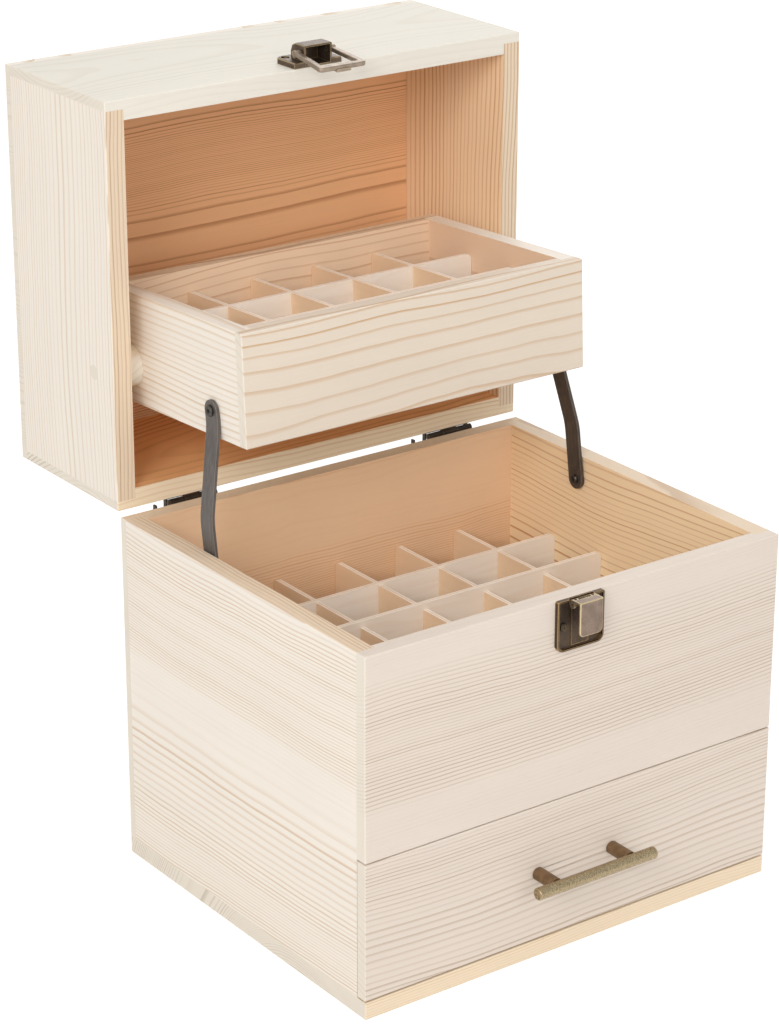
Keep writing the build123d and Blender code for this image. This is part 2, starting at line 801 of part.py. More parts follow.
def build_latch():
    """The lid's half of the latch: a raised plate with a hood, and a square ring on two pins."""
    low = base_height + latch_edge_gap
    left, right = latch_x - latch_width / 2, latch_x + latch_width / 2
    plate = block(left, right, front_face - latch_pad, front_face, low, low + latch_plate_height)
    plate = fillet(plate.edges().filter_by(Axis.Y).group_by(Axis.Z)[-1], latch_corner)
    plate = fillet(plate.faces().sort_by(Axis.Y)[0].edges(), latch_pad_rounding)
    recesses = [
        y_rod(
            latch_x + side * latch_screw_spacing / 2,
            front_face - latch_pad,
            front_face - latch_sheet,
            latch_screw_z,
            latch_recess_radius,
        )
        for side in left_right
    ]
    hood_half = hood_width / 2
    hood_top = base_height + hood_high
    hood = side_profile(
        latch_x - hood_half, latch_x + hood_half, hood_profile(hood_bite, hood_out, low, hood_top, hood_corner)
    )
    upper_edges = [
        edge
        for edge in hood.edges()
        if edge.center().Z > low + latch_sheet and edge.center().Y < front_face - latch_pad
        if abs(abs(edge.center().X - latch_x) - hood_half) < hood_bite
    ]
    hood = fillet(upper_edges, hood_rounding)
    room_half = hood_half - latch_sheet
    room = side_profile(
        latch_x - room_half,
        latch_x + room_half,
        hood_profile(latch_sheet, hood_out - latch_sheet, low, hood_top - latch_sheet, hood_inner_corner),
    )
    ring_y = front_face - ring_pivot_out
    ring_z = base_height + ring_pivot_rise
    top_half = ring_top_width / 2
    arm_inner = top_half - ring_arm
    pin_end = top_half - ring_pin_cover
    pins = []
    for side in left_right:
        start, stop = sorted((latch_x + side * room_half, latch_x + side * pin_end))
        pins.append(x_rod(start, stop, ring_y, ring_z, ring_pin_radius))
    save("latch_plate", open_lid * less(plate + hood - room, [*recesses, *pins, *latch_screws]))
    save("ring_pins", [open_lid * pin for pin in pins])
    save("latch_screws", [open_lid * screw for screw in latch_screws])

    thin = ring_thickness / 2
    tip = ring_reach + ring_bar / 2
    opening = ring_reach - ring_bar / 2
    slant = (ring_width - ring_top_width) / 2 / tip
    frame = tapered(top_half, ring_width / 2, -tip, thin)
    outer = frame.edges().filter_by(Axis.Y).group_by(Axis.Z)[0]
    frame = fillet(outer, ring_outer_corner)
    inner = tapered(arm_inner, arm_inner + slant * opening, -opening, thin)
    inner = fillet(inner.edges().filter_by(Axis.Y).group_by(Axis.Z)[0], ring_inner_corner)
    frame -= inner
    frame = fillet(frame.faces().filter_by(Axis.Y).edges(), ring_rounding)
    lug, rise = ring_lug_width / 2, ring_lug_height / 2
    lug_z = -ring_reach - ring_lug_offset
    frame += block(-lug, lug, thin - ring_lug_bite, thin + ring_lug_depth, lug_z - rise, lug_z + rise)
    for side in left_right:
        start, stop = sorted((side * top_half, side * arm_inner))
        frame += x_rod(start, stop, 0, 0, ring_eye_radius)
        start, stop = sorted((side * (pin_end + ring_pin_end_gap), side * arm_inner))
        frame -= x_rod(start, stop, 0, 0, ring_pin_radius + running_gap)
    ring = Pos(latch_x, ring_y, ring_z) * Rot(ring_tilt, 0, 0) * frame
    save("latch_ring", open_lid * ring)


build_base()
build_base_dividers()
build_drawer()
build_hinges()
build_lid()
build_tray()
build_links()
build_catch()
build_latch()
save("link_base_screws", link_base_screws)
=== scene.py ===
"""Looks of the wooden organizer box: pine boards, plywood dividers, bronze hardware and steel straps."""

import math

import bpy
from mathutils import Matrix, Vector


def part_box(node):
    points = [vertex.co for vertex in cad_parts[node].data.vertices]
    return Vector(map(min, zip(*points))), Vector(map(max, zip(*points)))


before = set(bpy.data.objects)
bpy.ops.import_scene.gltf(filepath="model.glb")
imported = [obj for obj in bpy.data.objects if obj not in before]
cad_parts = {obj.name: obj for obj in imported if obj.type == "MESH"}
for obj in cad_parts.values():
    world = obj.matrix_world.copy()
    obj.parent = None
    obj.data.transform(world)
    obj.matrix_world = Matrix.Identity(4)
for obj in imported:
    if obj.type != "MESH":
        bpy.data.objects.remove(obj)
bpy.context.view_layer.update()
MM = 0.001

# How far the open tray leans forward
TRAY_TILT = math.radians(-2.95)


# Shader values as Python expressions


class Value:
    """One value in a material. Arithmetic on it adds Math nodes."""

    def __init__(self, finish, socket):
        self.finish = finish
        self.socket = socket

    def _math(self, operation, *values):
        return self.finish.node("ShaderNodeMath", {"operation": operation}, dict(enumerate(values)))

    def __add__(self, other):
        return self._math("ADD", self, other)

    def __sub__(self, other):
        return self._math("SUBTRACT", self, other)

    def __rsub__(self, other):
        return self._math("SUBTRACT", other, self)

    def __mul__(self, other):
        return self._math("MULTIPLY", self, other)

    def __truediv__(self, other):
        return self._math("DIVIDE", self, other)

    def __abs__(self):
        return self._math("ABSOLUTE", self)

    __radd__ = __add__
    __rmul__ = __mul__

    def whole(self):
        return self._math("FLOOR", self)

    def part(self):
        return self._math("FRACT", self)

    def root(self):
        return self._math("SQRT", self)

    def larger(self, other):
        return self._math("MAXIMUM", self, other)

    def ease(self, low, high, start=0.0, end=1.0):
        """Goes smoothly from start at low to end at high."""
        settings = {"interpolation_type": "SMOOTHSTEP"}
        values = {0: self, 1: low, 2: high, 3: start, 4: end}
        return self.finish.node("ShaderNodeMapRange", settings, values)

    def fade(self, low, high):
        """Goes smoothly from 1 at low to 0 at high."""
        return self.ease(low, high, 1.0, 0.0)


class Finish:
    """A material in the making."""

    def __init__(self, name, metallic=0.0, gloss=0.5):
        self.material = bpy.data.materials.new(name)
        self.material.use_nodes = True
        self.tree = self.material.node_tree
        self.shader = self.tree.nodes["Principled BSDF"]
        self.set("Metallic", metallic)
        self.set("Specular IOR Level", gloss)
        self.place = self.node("ShaderNodeTexCoord", output="Object")

    def node(self, kind, settings=None, values=None, output=0):
        made = self.tree.nodes.new(kind)
        for key, setting in (settings or {}).items():
            setattr(made, key, setting)
        for key, value in (values or {}).items():
            self.plug(value, made.inputs[key])
        return Value(self, made.outputs[output])

    def plug(self, value, socket):
        if isinstance(value, Value):
            self.tree.links.new(value.socket, socket)
        else:
            socket.default_value = value

    def set(self, name, value):
        self.plug(value, self.shader.inputs[name])

    def axes(self, vector):
        """The three parts of a vector or colour."""
        split = self.node("ShaderNodeSeparateXYZ", values={0: vector})
        outputs = split.socket.node.outputs
        return [Value(self, outputs[index]) for index in range(3)]

    def face_axes(self):
        """The three parts of the direction in which the surface looks."""
        return self.axes(self.node("ShaderNodeTexCoord", output="Normal"))

    def board_axes(self, tilt):
        """The three parts of the place, in millimetres, turned upright for a board that leans by tilt."""
        x, y, z = (part * (1.0 / MM) for part in self.axes(self.place))
        if tilt:
            y, z = y * math.cos(tilt) + z * math.sin(tilt), z * math.cos(tilt) - y * math.sin(tilt)
        return [x, y, z]

    def vector(self, x, y, z):
        return self.node("ShaderNodeCombineXYZ", values={0: x, 1: y, 2: z})

    def mix(self, factor, first, second):
        """A colour between two colours."""
        settings = {"data_type": "RGBA"}
        return self.node("ShaderNodeMix", settings, {0: factor, 6: first, 7: second}, 2)

    def scaled(self, colour, factor):
        return self.node("ShaderNodeVectorMath", {"operation": "SCALE"}, {0: colour, 3: factor})

    def noise(self, place, scale=1.0, detail=2.0, roughness=0.5, colour=False):
        values = {"Vector": place, "Scale": scale, "Detail": detail, "Roughness": roughness}
        return self.node("ShaderNodeTexNoise", {"noise_dimensions": "3D"}, values, int(colour))

    def grain_noise(self, place, lengths, seed=0.0, detail=1.0, colour=False):
        """Noise that changes over the first of two lengths along the grain and over the second across it."""
        along, first, second = place
        length, width = lengths
        spot = self.vector(along / length + seed, first / width, second / width)
        return self.noise(spot, detail=detail, colour=colour)

    def line_noise(self, along):
        """Noise along one value."""
        values = {"W": along, "Scale": 1.0, "Detail": 0.0}
        return self.node("ShaderNodeTexNoise", {"noise_dimensions": "1D"}, values)

    def bump(self, height, depth, strength):
        """Relief, with its depth in metres."""
        values = {"Height": height, "Distance": depth, "Strength": strength}
        self.set("Normal", self.node("ShaderNodeBump", values=values))


def tone(red, green, blue):
    """A colour from its levels of 0 to 255 on a screen."""

    def linear(level):
        share = level / 255
        return share / 12.92 if share <= 0.04045 else ((share + 0.055) / 1.055) ** 2.4

    return (linear(red), linear(green), linear(blue), 1.0)


# Wood

# Tones of the rings' early wood and of their darker late wood
PALE = (tone(243, 235, 224), tone(218, 196, 168))
# Darker, greyer tones for the front boards: painted shade
COOL_FRONT_SHADE = (tone(227, 215, 203), tone(188, 166, 145))
# The next four pairs are painted shade and warm bounce light, for faces that look inside the box
WARM_SHADE_AND_BOUNCE = (tone(240, 210, 176), tone(192, 142, 96))
DEEP_SHADE_AND_BOUNCE = (tone(238, 188, 142), tone(162, 102, 58))
TAN_SHADE_AND_BOUNCE = (tone(253, 224, 188), tone(212, 162, 114))
FLESH_SHADE_AND_BOUNCE = (tone(239, 210, 181), tone(204, 160, 120))
END = (tone(234, 225, 211), tone(190, 176, 156))
# Painted shade, for the rim faces that look towards a board's rim direction
RIM_SHADE = (tone(229, 209, 184), tone(176, 134, 96))

SIDES = {"x": 0, "y": 1, "z": 2}
WOOD_GLOSS = 0.3

# The cosines of a face's lean away from a direction, between which it comes to count as facing it
FACING = (0.6, 0.85)

# Lengths in millimetres over which the wood changes, along its grain and across it, and how much
# the drift and the ripple move the rings
DRIFT = (210.0, 160.0)
DRIFT_GAIN = 4.0
RIPPLE = (34.0, 22.0)
RIPPLE_DEPTH = 1.2
FIBRE = (30.0, 0.55)
PORES = (7.0, 0.42)
CLOUDS = (90.0, 30.0)

# Lengths in millimetres across the rings: over RING_PACE their widths change, and about every
# RING_GROUP a group of strong lines gives way to fainter ones
RING_PACE = 70.0
RING_PACE_GAIN = 2.0
RING_GROUP = 26.0

# The strength of the faintest single ring, next to that of the strongest
FAINTEST_RING = 0.4

# Where on its way outwards a ring is darkest, and where its late wood ends
LATE_PEAK = 0.94
LATE_END = (0.96, 1.0)

# How softly a plain stretch starts and ends, in millimetres, and the share of its lines that it loses
PLAIN_SOFT = 3.0
PLAIN_LOSS = 0.9

WOOD_RELIEF = 0.14 * MM


def facing(made, direction):
    """1 on faces that look in a direction such as "-x", else 0."""
    sign = 1.0 if direction[0] == "+" else -1.0
    return (made.face_axes()[SIDES[direction[1]]] * sign).ease(*FACING)


def late_wood(made, place, pith, spacing, sway, growth, bands, fine, seed):
    """The rings' dark lines, from 0 to 1. The rings wander about the pith, and some are fainter."""
    _, first, second = place
    drift_a, drift_b, _ = made.axes(made.grain_noise(place, DRIFT, seed, colour=True))
    ripple = made.grain_noise(place, RIPPLE, seed) - 0.5
    from_pith_a = first - pith[0] + (drift_a - 0.5) * sway * DRIFT_GAIN
    from_pith_b = second - pith[1] + (drift_b - 0.5) * sway * DRIFT_GAIN
    radius = (from_pith_a * from_pith_a + from_pith_b * from_pith_b).root() + ripple * RIPPLE_DEPTH
    pace = made.line_noise(radius / RING_PACE + seed * 3.0)
    rings = (radius + (pace - 0.5) * growth * RING_PACE_GAIN) / spacing
    phase = rings.part()
    late = phase.ease(fine, LATE_PEAK) * phase.fade(*LATE_END)
    each = made.node("ShaderNodeTexWhiteNoise", {"noise_dimensions": "1D"}, {"W": rings.whole() + seed})
    group = made.line_noise(radius / RING_GROUP + seed * 7.0).ease(0.38, 0.6)
    strength = each * (1.0 - FAINTEST_RING) + FAINTEST_RING
    return late * strength * (group * bands + (1.0 - bands))


def wood(
    name, grain, pith, spacing, outer=PALE, inner=WARM_SHADE_AND_BOUNCE, inside=None, rim=None, contrast=1.0,
    sway=6.0, growth=30.0, bands=0.6, fine=0.5, seed=0.0, tilt=0.0, end=0.35, plain=(),
):
    """Sawn wood, cut out of a log whose rings lie about the pith, a point of the two axes across the grain.

    spacing is the width of a ring, sway how far the rings wander and growth how much their widths
    change, in millimetres. outer and inner are pairs of tones, and the inner ones are painted shade
    and warm bounce light. inside and rim are directions such as "-x", whose faces have the inner
    tones or the rim's, which are painted shade. contrast is the strength of the lines on the faces
    that don't look inside, bands the share of it that they lose between their groups, fine the
    share of a ring that stays pale, and end the strength of the end grain's lines. plain holds the
    stretches of the second axis across the grain that have hardly any lines.
    """
    made = Finish(name, gloss=WOOD_GLOSS)
    across = made.board_axes(tilt)
    along = across.pop(SIDES[grain])
    place = (along, *across)
    late = late_wood(made, place, pith, spacing, sway, growth, bands, fine, seed)
    for low, high in plain:
        after_low = across[1].ease(low - PLAIN_SOFT, low + PLAIN_SOFT)
        before_high = across[1].fade(high - PLAIN_SOFT, high + PLAIN_SOFT)
        late = late * (1.0 - after_low * before_high * PLAIN_LOSS)
    fibre = made.grain_noise(place, FIBRE, detail=2.0) - 0.5
    pores = made.grain_noise(place, PORES, seed).ease(0.66, 0.8)
    cloud = made.grain_noise(place, CLOUDS, seed) - 0.5

    early_tone, late_tone = outer
    line = late * contrast
    # Faces that look inside get painted shade and warm bounce light
    if inside:
        inside_shade_and_bounce = facing(made, inside)
        early_tone = made.mix(inside_shade_and_bounce, early_tone, inner[0])
        late_tone = made.mix(inside_shade_and_bounce, late_tone, inner[1])
        line = late * (inside_shade_and_bounce * (1.0 - contrast) + contrast)
    # Faces that look towards the rim get painted shade
    if rim:
        rim_shade_mask = facing(made, rim)
        early_tone = made.mix(rim_shade_mask, early_tone, RIM_SHADE[0])
        late_tone = made.mix(rim_shade_mask, late_tone, RIM_SHADE[1])
    colour = made.mix(line, early_tone, late_tone)
    end_face = abs(made.face_axes()[SIDES[grain]]).ease(*FACING)
    end_line = (late * end + fibre * 0.25).larger(0.0)
    colour = made.mix(end_face, colour, made.mix(end_line, *END))
    made.set("Base Color", made.scaled(colour, 1.0 + fibre * 0.07 + cloud * 0.05 - pores * 0.05))
    made.set("Roughness", 0.56 + fibre * 0.16 - late * 0.06)
    made.bump(fibre * 0.5 - pores * 0.7 - late * 0.35, WOOD_RELIEF, 0.6)
    return made.material


# Plywood

# Lengths in millimetres over which the face's figure and fibres change, along the grain and across it
PLY_FIGURE = (150.0, 20.0)
PLY_FIBRE = (22.0, 0.5)
PLY_CLOUD = 60.0

# How far from the mid plane the core's line starts to fade and ends, in millimetres
PLY_CORE = (0.3, 0.5)

PLY_RELIEF = 0.08 * MM
PLY_LONG_FACE = tone(250, 240, 228)
# The cross dividers' tanner face is painted shade and warm bounce light
PLY_CROSS_BOUNCE = tone(244, 215, 182)
PLY_LINE = tone(222, 188, 150)
PLY_EDGE = tone(254, 246, 234)
PLY_CORE_LINE = tone(222, 160, 106)


def veneer(name, middle_axis, middle, grain, seed, tilt=0.0, face=PLY_LONG_FACE):
    """Thin plywood, whose inner layer shows on its edges.

    middle is where its mid plane lies on the middle_axis, in millimetres.
    """
    made = Finish(name, gloss=WOOD_GLOSS)
    across = made.board_axes(tilt)
    x, y, z = across
    depth = abs(across[SIDES[middle_axis]] - middle)
    along = across.pop(SIDES[grain])
    place = (along, *across)
    bands = (made.grain_noise(place, PLY_FIGURE, seed, 2.0) * 7.0).part()
    line = bands.ease(0.3, 0.9) * bands.fade(0.93, 1.0)
    fibre = made.grain_noise(place, PLY_FIBRE, seed, 2.0) - 0.5
    cloud = made.noise(made.vector(x / PLY_CLOUD, y / PLY_CLOUD + seed, z / PLY_CLOUD), detail=1.0) - 0.5
    edge = abs(made.face_axes()[SIDES[middle_axis]]).fade(0.3, 0.6)
    core = depth.fade(*PLY_CORE) * edge
    colour = made.mix(line * 0.1, face, PLY_LINE)
    colour = made.mix(edge * 0.9, colour, PLY_EDGE)
    colour = made.mix(core * 0.35, colour, PLY_CORE_LINE)
    made.set("Base Color", made.scaled(colour, 1.0 + fibre * 0.04 + cloud * 0.05))
    made.set("Roughness", 0.6 + fibre * 0.12)
    made.bump(fibre - core * 0.4, PLY_RELIEF, 0.5)
    return made.material


# Metal


def worn_edge(made, radius, low, high):
    """How much a place is on an outer edge, from 0 to 1."""
    soft = made.node("ShaderNodeBevel", {"samples": 6}, {"Radius": radius})
    flat = made.node("ShaderNodeNewGeometry", output="Normal")
    even = made.node("ShaderNodeVectorMath", {"operation": "DOT_PRODUCT"}, {0: soft, 1: flat}, 1)
    return (1.0 - even).ease(low, high)


def askew(made):
    """1 on faces that look between the axes, such as the rounded edges of a plate."""
    x, y, z = made.face_axes()
    return (1.0 - abs(x).larger(abs(y)).larger(abs(z))).ease(0.015, 0.12)


def bronze(name, face, hollow, worn, edge_radius, grain=900.0, rough=0.42, plate=False):
    """Antique bronze: a brown face, dark in its hollows and rubbed bright on its edges.

    edge_radius is in millimetres, grain is the number of grains in a metre, and a plate is rubbed on
    its rounded edges too.
    """
    made = Finish(name, metallic=0.8)
    small = made.noise(made.place, grain, 3.0, 0.6)
    patch = made.noise(made.place, 160.0, 2.0).ease(0.35, 0.68)
    speck = made.noise(made.place, 2600.0, 1.0).ease(0.6, 0.72)
    colour = made.mix(patch * 0.55, face, hollow)
    colour = made.mix(speck * 0.3, colour, worn)
    rubbed = worn_edge(made, edge_radius * MM, 0.005, 0.1)
    if plate:
        rubbed = rubbed.larger(askew(made))
    rubbed = rubbed * 0.9 * small.ease(0.28, 0.6, 0.6, 1.0)
    made.set("Base Color", made.mix(rubbed, colour, worn))
    made.set("Roughness", rough + (small - 0.5) * 0.22 - rubbed * 0.12)
    made.bump(small - speck * 0.4, 0.08 * MM, 0.6)
    return made.material


def brushed_bar(name):
    """The handle's bar, with fine strokes across its length."""
    made = Finish(name, metallic=0.9)
    x, y, z = made.axes(made.place)
    strokes = made.noise(made.vector(x * 2600.0, y * 900.0, z * 900.0), 1.0, 2.0, 0.6)
    pits = made.noise(made.place, 2200.0, 2.0).ease(0.56, 0.7)
    rubbed = worn_edge(made, 1.0 * MM, 0.01, 0.16)
    colour = made.mix(strokes.ease(0.3, 0.7), tone(138, 120, 90), tone(184, 168, 136))
    colour = made.mix(pits * 0.4, colour, tone(92, 76, 52))
    made.set("Base Color", made.mix(rubbed * 0.6, colour, tone(200, 186, 150)))
    made.set("Roughness", 0.27 + pits * 0.15 + (strokes - 0.5) * 0.1)
    made.bump(strokes - pits, 0.1 * MM, 0.5)
    return made.material


def strap_steel(name, face, shade):
    """Blackened strap steel with a faint length grain and slightly worn edges."""
    made = Finish(name, metallic=0.3)
    x, y, z = made.axes(made.place)
    rolled = made.noise(made.vector(x * 700.0, y * 700.0, z * 60.0), 1.0, 3.0)
    patch = made.noise(made.place, 90.0, 2.0)
    rubbed = worn_edge(made, 0.7 * MM, 0.01, 0.12) * rolled.ease(0.3, 0.6, 0.4, 1.0)
    colour = made.mix(rolled.ease(0.3, 0.7) * 0.5, face, shade)
    colour = made.mix(patch.ease(0.45, 0.7) * 0.25, colour, shade)
    made.set("Base Color", made.mix(rubbed * 0.7, colour, tone(164, 152, 136)))
    made.set("Roughness", 0.5 + (rolled - 0.5) * 0.2)
    made.bump(rolled + patch * 0.5, 0.06 * MM, 0.5)
    return made.material


# Each board's looks, as wood() takes them. Their inner tones are painted shade and warm bounce light.

BOARDS = {
    "bottom_board": dict(
        grain="x", pith=(-60, -70), spacing=2.2, sway=5, end=0.8,
        outer=(tone(240, 222, 196), tone(212, 172, 128)),
    ),
    "base_left_side": dict(
        grain="y", pith=(-420, 470), spacing=2.6, sway=4, growth=22, seed=3.1, contrast=0.95, bands=0.3,
        outer=(PALE[0], tone(206, 172, 134)), inside="+x", rim="+z", plain=((108, 140),),
    ),
    "base_right_side": dict(
        grain="y", pith=(150, -300), spacing=5.4, sway=7, growth=22, seed=5.7, fine=0.7, bands=0.3,
        inner=(tone(254, 227, 188), tone(204, 146, 96)), inside="-x", rim="+z",
    ),
    "base_back_panel": dict(
        grain="x", pith=(200, 204), spacing=0.8, sway=1.2, growth=2, seed=9.4, bands=0.7,
        inner=(tone(240, 204, 168), tone(220, 170, 124)), inside="-y", rim="+z", plain=((174, 223),),
    ),
    "upper_front_panel": dict(
        grain="x", pith=(-30, 520), spacing=2.1, sway=3, growth=12, seed=1.4, contrast=1.2, bands=0.4,
        outer=COOL_FRONT_SHADE, plain=((60, 128), (206, 260)),
    ),
    "lid_front_panel": dict(
        grain="x", pith=(196, 560), spacing=4.2, sway=8, seed=12.3, contrast=0.35,
        outer=(tone(232, 227, 216), tone(204, 190, 170)), inside="-z",
    ),
    "lid_back_panel": dict(
        grain="x", pith=(170, 150), spacing=2.6, seed=14.9, end=0.9,
        outer=(tone(240, 222, 194), tone(208, 168, 122)),
        inner=(tone(248, 190, 134), tone(200, 134, 82)), inside="+z",
    ),
    "lid_top_panel": dict(
        grain="x", pith=(240, 700), spacing=2.6, sway=4, growth=50, seed=17.6, fine=0.6, bands=0.2,
        inner=DEEP_SHADE_AND_BOUNCE, inside="-y",
    ),
    "lid_left_side": dict(
        grain="z", pith=(-380, -60), spacing=2.6, sway=3, growth=18, seed=21.3, contrast=0.8, bands=0.3,
        inner=TAN_SHADE_AND_BOUNCE, inside="+x", rim="-y",
    ),
    "lid_right_side": dict(
        grain="z", pith=(400, -40), spacing=2.9, sway=3, growth=16, seed=25.8, bands=0.2,
        inner=TAN_SHADE_AND_BOUNCE, inside="-x", rim="-y",
    ),
    # Its darker outer tones are painted shade, like those of the other front boards
    "tray_front_panel": dict(
        grain="x", pith=(62, 268), spacing=4.6, growth=20, seed=31.2, fine=0.7, bands=0.1,
        outer=(tone(229, 216, 200), tone(204, 168, 128)), inner=FLESH_SHADE_AND_BOUNCE, inside="+y", tilt=TRAY_TILT,
    ),
    "tray_back_panel": dict(
        grain="x", pith=(205, 262), spacing=5.0, seed=33.7, fine=0.7, bands=0.2,
        inner=FLESH_SHADE_AND_BOUNCE, inside="-y", rim="+z", tilt=TRAY_TILT,
    ),
    "tray_left_side": dict(
        grain="y", pith=(-210, 190), spacing=3.4, sway=4, growth=14, seed=36.4, bands=0.3,
        inner=FLESH_SHADE_AND_BOUNCE, inside="+x", tilt=TRAY_TILT,
    ),
    "tray_right_side": dict(
        grain="y", pith=(300, 120), spacing=4.4, sway=5, seed=38.9, fine=0.7, bands=0.2,
        inner=FLESH_SHADE_AND_BOUNCE, inside="-x", tilt=TRAY_TILT,
    ),
    "drawer_front": dict(
        grain="x", pith=(-40, -190), spacing=2.7, sway=4, growth=14, seed=41.5, contrast=0.9, bands=0.4,
        outer=COOL_FRONT_SHADE,
    ),
    "drawer_left_side": dict(grain="y", pith=(-300, 240), spacing=3.6, seed=44.2, inside="+x"),
    "drawer_right_side": dict(grain="y", pith=(330, 210), spacing=3.6, seed=46.8, inside="-x"),
    "drawer_back": dict(grain="x", pith=(60, -80), spacing=4.0, seed=49.1, inside="-y"),
    "pivot_spacers": dict(
        grain="y", pith=(0, 100), spacing=4.0, seed=52.0,
        outer=(tone(238, 222, 196), tone(208, 176, 136)), inside="-y",
    ),
    "pivot_plugs": dict(grain="x", pith=(100, 350), spacing=2.4, seed=55.0),
}

# Each bronze: its looks, as bronze() takes them, and the nodes that have it

BRONZE_HOLLOW = tone(64, 52, 40)
BRONZES = {
    "bronze_lever": (
        dict(face=tone(140, 122, 110), hollow=tone(112, 96, 86), worn=tone(222, 202, 156),
             edge_radius=1.2, plate=True),
        ["catch_lever"],
    ),
    # The plate's dark face is partly the bronze's own dark tone and partly painted shade from the lever and
    # the plate's channel
    "bronze_plate": (
        dict(face=tone(80, 66, 55), hollow=BRONZE_HOLLOW, worn=tone(172, 142, 98),
             edge_radius=0.9, plate=True),
        ["catch_plate", "catch_lever_pin", "ring_pins"],
    ),
    "bronze_hood": (
        dict(face=tone(104, 88, 74), hollow=BRONZE_HOLLOW, worn=tone(184, 162, 126),
             edge_radius=0.9, plate=True),
        ["latch_plate"],
    ),
    "bronze_screw": (
        dict(face=tone(84, 70, 56), hollow=tone(40, 33, 26), worn=tone(168, 148, 114), edge_radius=0.4),
        ["catch_screws", "latch_screws", "hinge_base_screws", "hinge_lid_screws", "handle_screws"],
    ),
    "bronze_ring": (
        dict(face=tone(158, 142, 126), hollow=tone(104, 90, 76), worn=tone(206, 190, 164),
             edge_radius=0.9, rough=0.32),
        ["latch_ring"],
    ),
    "bronze_post": (
        dict(face=tone(138, 112, 84), hollow=tone(96, 76, 54), worn=tone(176, 152, 116),
             edge_radius=0.6, grain=1200.0),
        ["handle_posts"],
    ),
    "bronze_hinge": (
        dict(face=tone(62, 53, 44), hollow=tone(36, 31, 26), worn=tone(120, 104, 80), edge_radius=0.5),
        ["hinge_base_leaves", "hinge_lid_leaves", "hinge_pins"],
    ),
    "dark_screw": (
        dict(face=tone(70, 66, 62), hollow=tone(34, 32, 30), worn=tone(150, 144, 136),
             edge_radius=0.4, rough=0.4),
        ["link_base_screws", "link_tray_screws", "tray_pivot_pins"],
    ),
}


def put_on(name, material):
    """Gives a node one material all over."""
    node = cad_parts[name]
    node.data.materials.clear()
    node.data.materials.append(material)


def finish_boards():
    for name, looks in BOARDS.items():
        put_on(name, wood("pine_" + name.removeprefix("pivot_"), **looks))


def middle_of(name):
    """The middle of a node, in millimetres."""
    low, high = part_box(name)
    return (low + high) / 2 / MM


def finish_plywood():
    """Each divider and floor has its own middle plane, so each has its own plywood."""
    for name in sorted(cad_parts):
        tilt = TRAY_TILT if name.startswith("tray") else 0.0
        centre = middle_of(name)
        seed = 1.7 * len(name) + centre.x * 0.31 + centre.y * 0.17
        material = "plywood_" + name
        if "cross_divider" in name:
            # Cross dividers get the tanner face: painted shade and warm bounce light
            put_on(name, veneer(material, "x", centre.x, "y", seed, tilt, PLY_CROSS_BOUNCE))
        elif "long_divider" in name:
            across = centre.y * math.cos(tilt) + centre.z * math.sin(tilt)
            put_on(name, veneer(material, "y", across, "x", seed, tilt))
        elif name.endswith("_floor"):
            up = centre.z * math.cos(tilt) - centre.y * math.sin(tilt)
            put_on(name, veneer(material, "z", up, "x", seed, tilt))


def finish_metal():
    for material, (looks, names) in BRONZES.items():
        made = bronze(material, **looks)
        for name in names:
            put_on(name, made)
    put_on("handle_bar", brushed_bar("bronze_bar"))
    put_on("left_link", strap_steel("strap_steel", tone(104, 98, 94), tone(74, 68, 64)))
    # The right strap is the same steel as the left; its darker tones are painted shade
    put_on("right_link", strap_steel("strap_steel_shaded", tone(84, 76, 70), tone(52, 45, 40)))


# Edges. The widths of their bevels are in millimetres.

METAL_EDGE = 0.16
WOOD_EDGE = 0.3
DIVIDER_EDGE = 0.35
METAL_NAMES = ("catch", "latch", "ring", "hinge", "handle", "link", "left_link", "right_link", "tray_pivot")

# Edges are shaded smooth up to the first angle, and bevelled from the second one on
SMOOTH_ANGLE = math.radians(35)
BEVEL_ANGLE = math.radians(60)


def smooth_by_angle():
    """A node group that shades curved faces smooth and keeps the sharper edges sharp."""
    group = bpy.data.node_groups.new("smooth_curves", "GeometryNodeTree")
    group.interface.new_socket("Geometry", in_out="INPUT", socket_type="NodeSocketGeometry")
    group.interface.new_socket("Geometry", in_out="OUTPUT", socket_type="NodeSocketGeometry")
    nodes, links = group.nodes, group.links
    start, end = nodes.new("NodeGroupInput"), nodes.new("NodeGroupOutput")
    angle = nodes.new("GeometryNodeInputMeshEdgeAngle")
    gentle = nodes.new("FunctionNodeCompare")
    gentle.operation = "LESS_THAN"
    gentle.inputs[1].default_value = SMOOTH_ANGLE
    links.new(angle.outputs[0], gentle.inputs[0])
    faces, edges = nodes.new("GeometryNodeSetShadeSmooth"), nodes.new("GeometryNodeSetShadeSmooth")
    edges.domain = "EDGE"
    links.new(start.outputs[0], faces.inputs["Geometry"])
    links.new(faces.outputs[0], edges.inputs["Geometry"])
    links.new(gentle.outputs[0], edges.inputs["Shade Smooth"])
    links.new(edges.outputs[0], end.inputs[0])
    return group


def edge_width(name):
    if "divider" in name:
        return DIVIDER_EDGE
    return METAL_EDGE if name.startswith(METAL_NAMES) else WOOD_EDGE


def soften_edges():
    """Takes the hard edges off every node, and keeps its flat faces evenly shaded."""
    smooth = smooth_by_angle()
    for name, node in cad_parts.items():
        weld = node.modifiers.new("weld", "WELD")
        weld.merge_threshold = 1e-6
        bevel = node.modifiers.new("soft_edges", "BEVEL")
        bevel.width = edge_width(name) * MM
        bevel.segments = 2
        bevel.limit_method = "ANGLE"
        bevel.angle_limit = BEVEL_ANGLE
        shade = node.modifiers.new("smooth_curves", "NODES")
        shade.node_group = smooth
        level = node.modifiers.new("level_flats", "WEIGHTED_NORMAL")
        level.weight = 100
        level.keep_sharp = True


# Stage. Lengths are in metres and powers in watts.

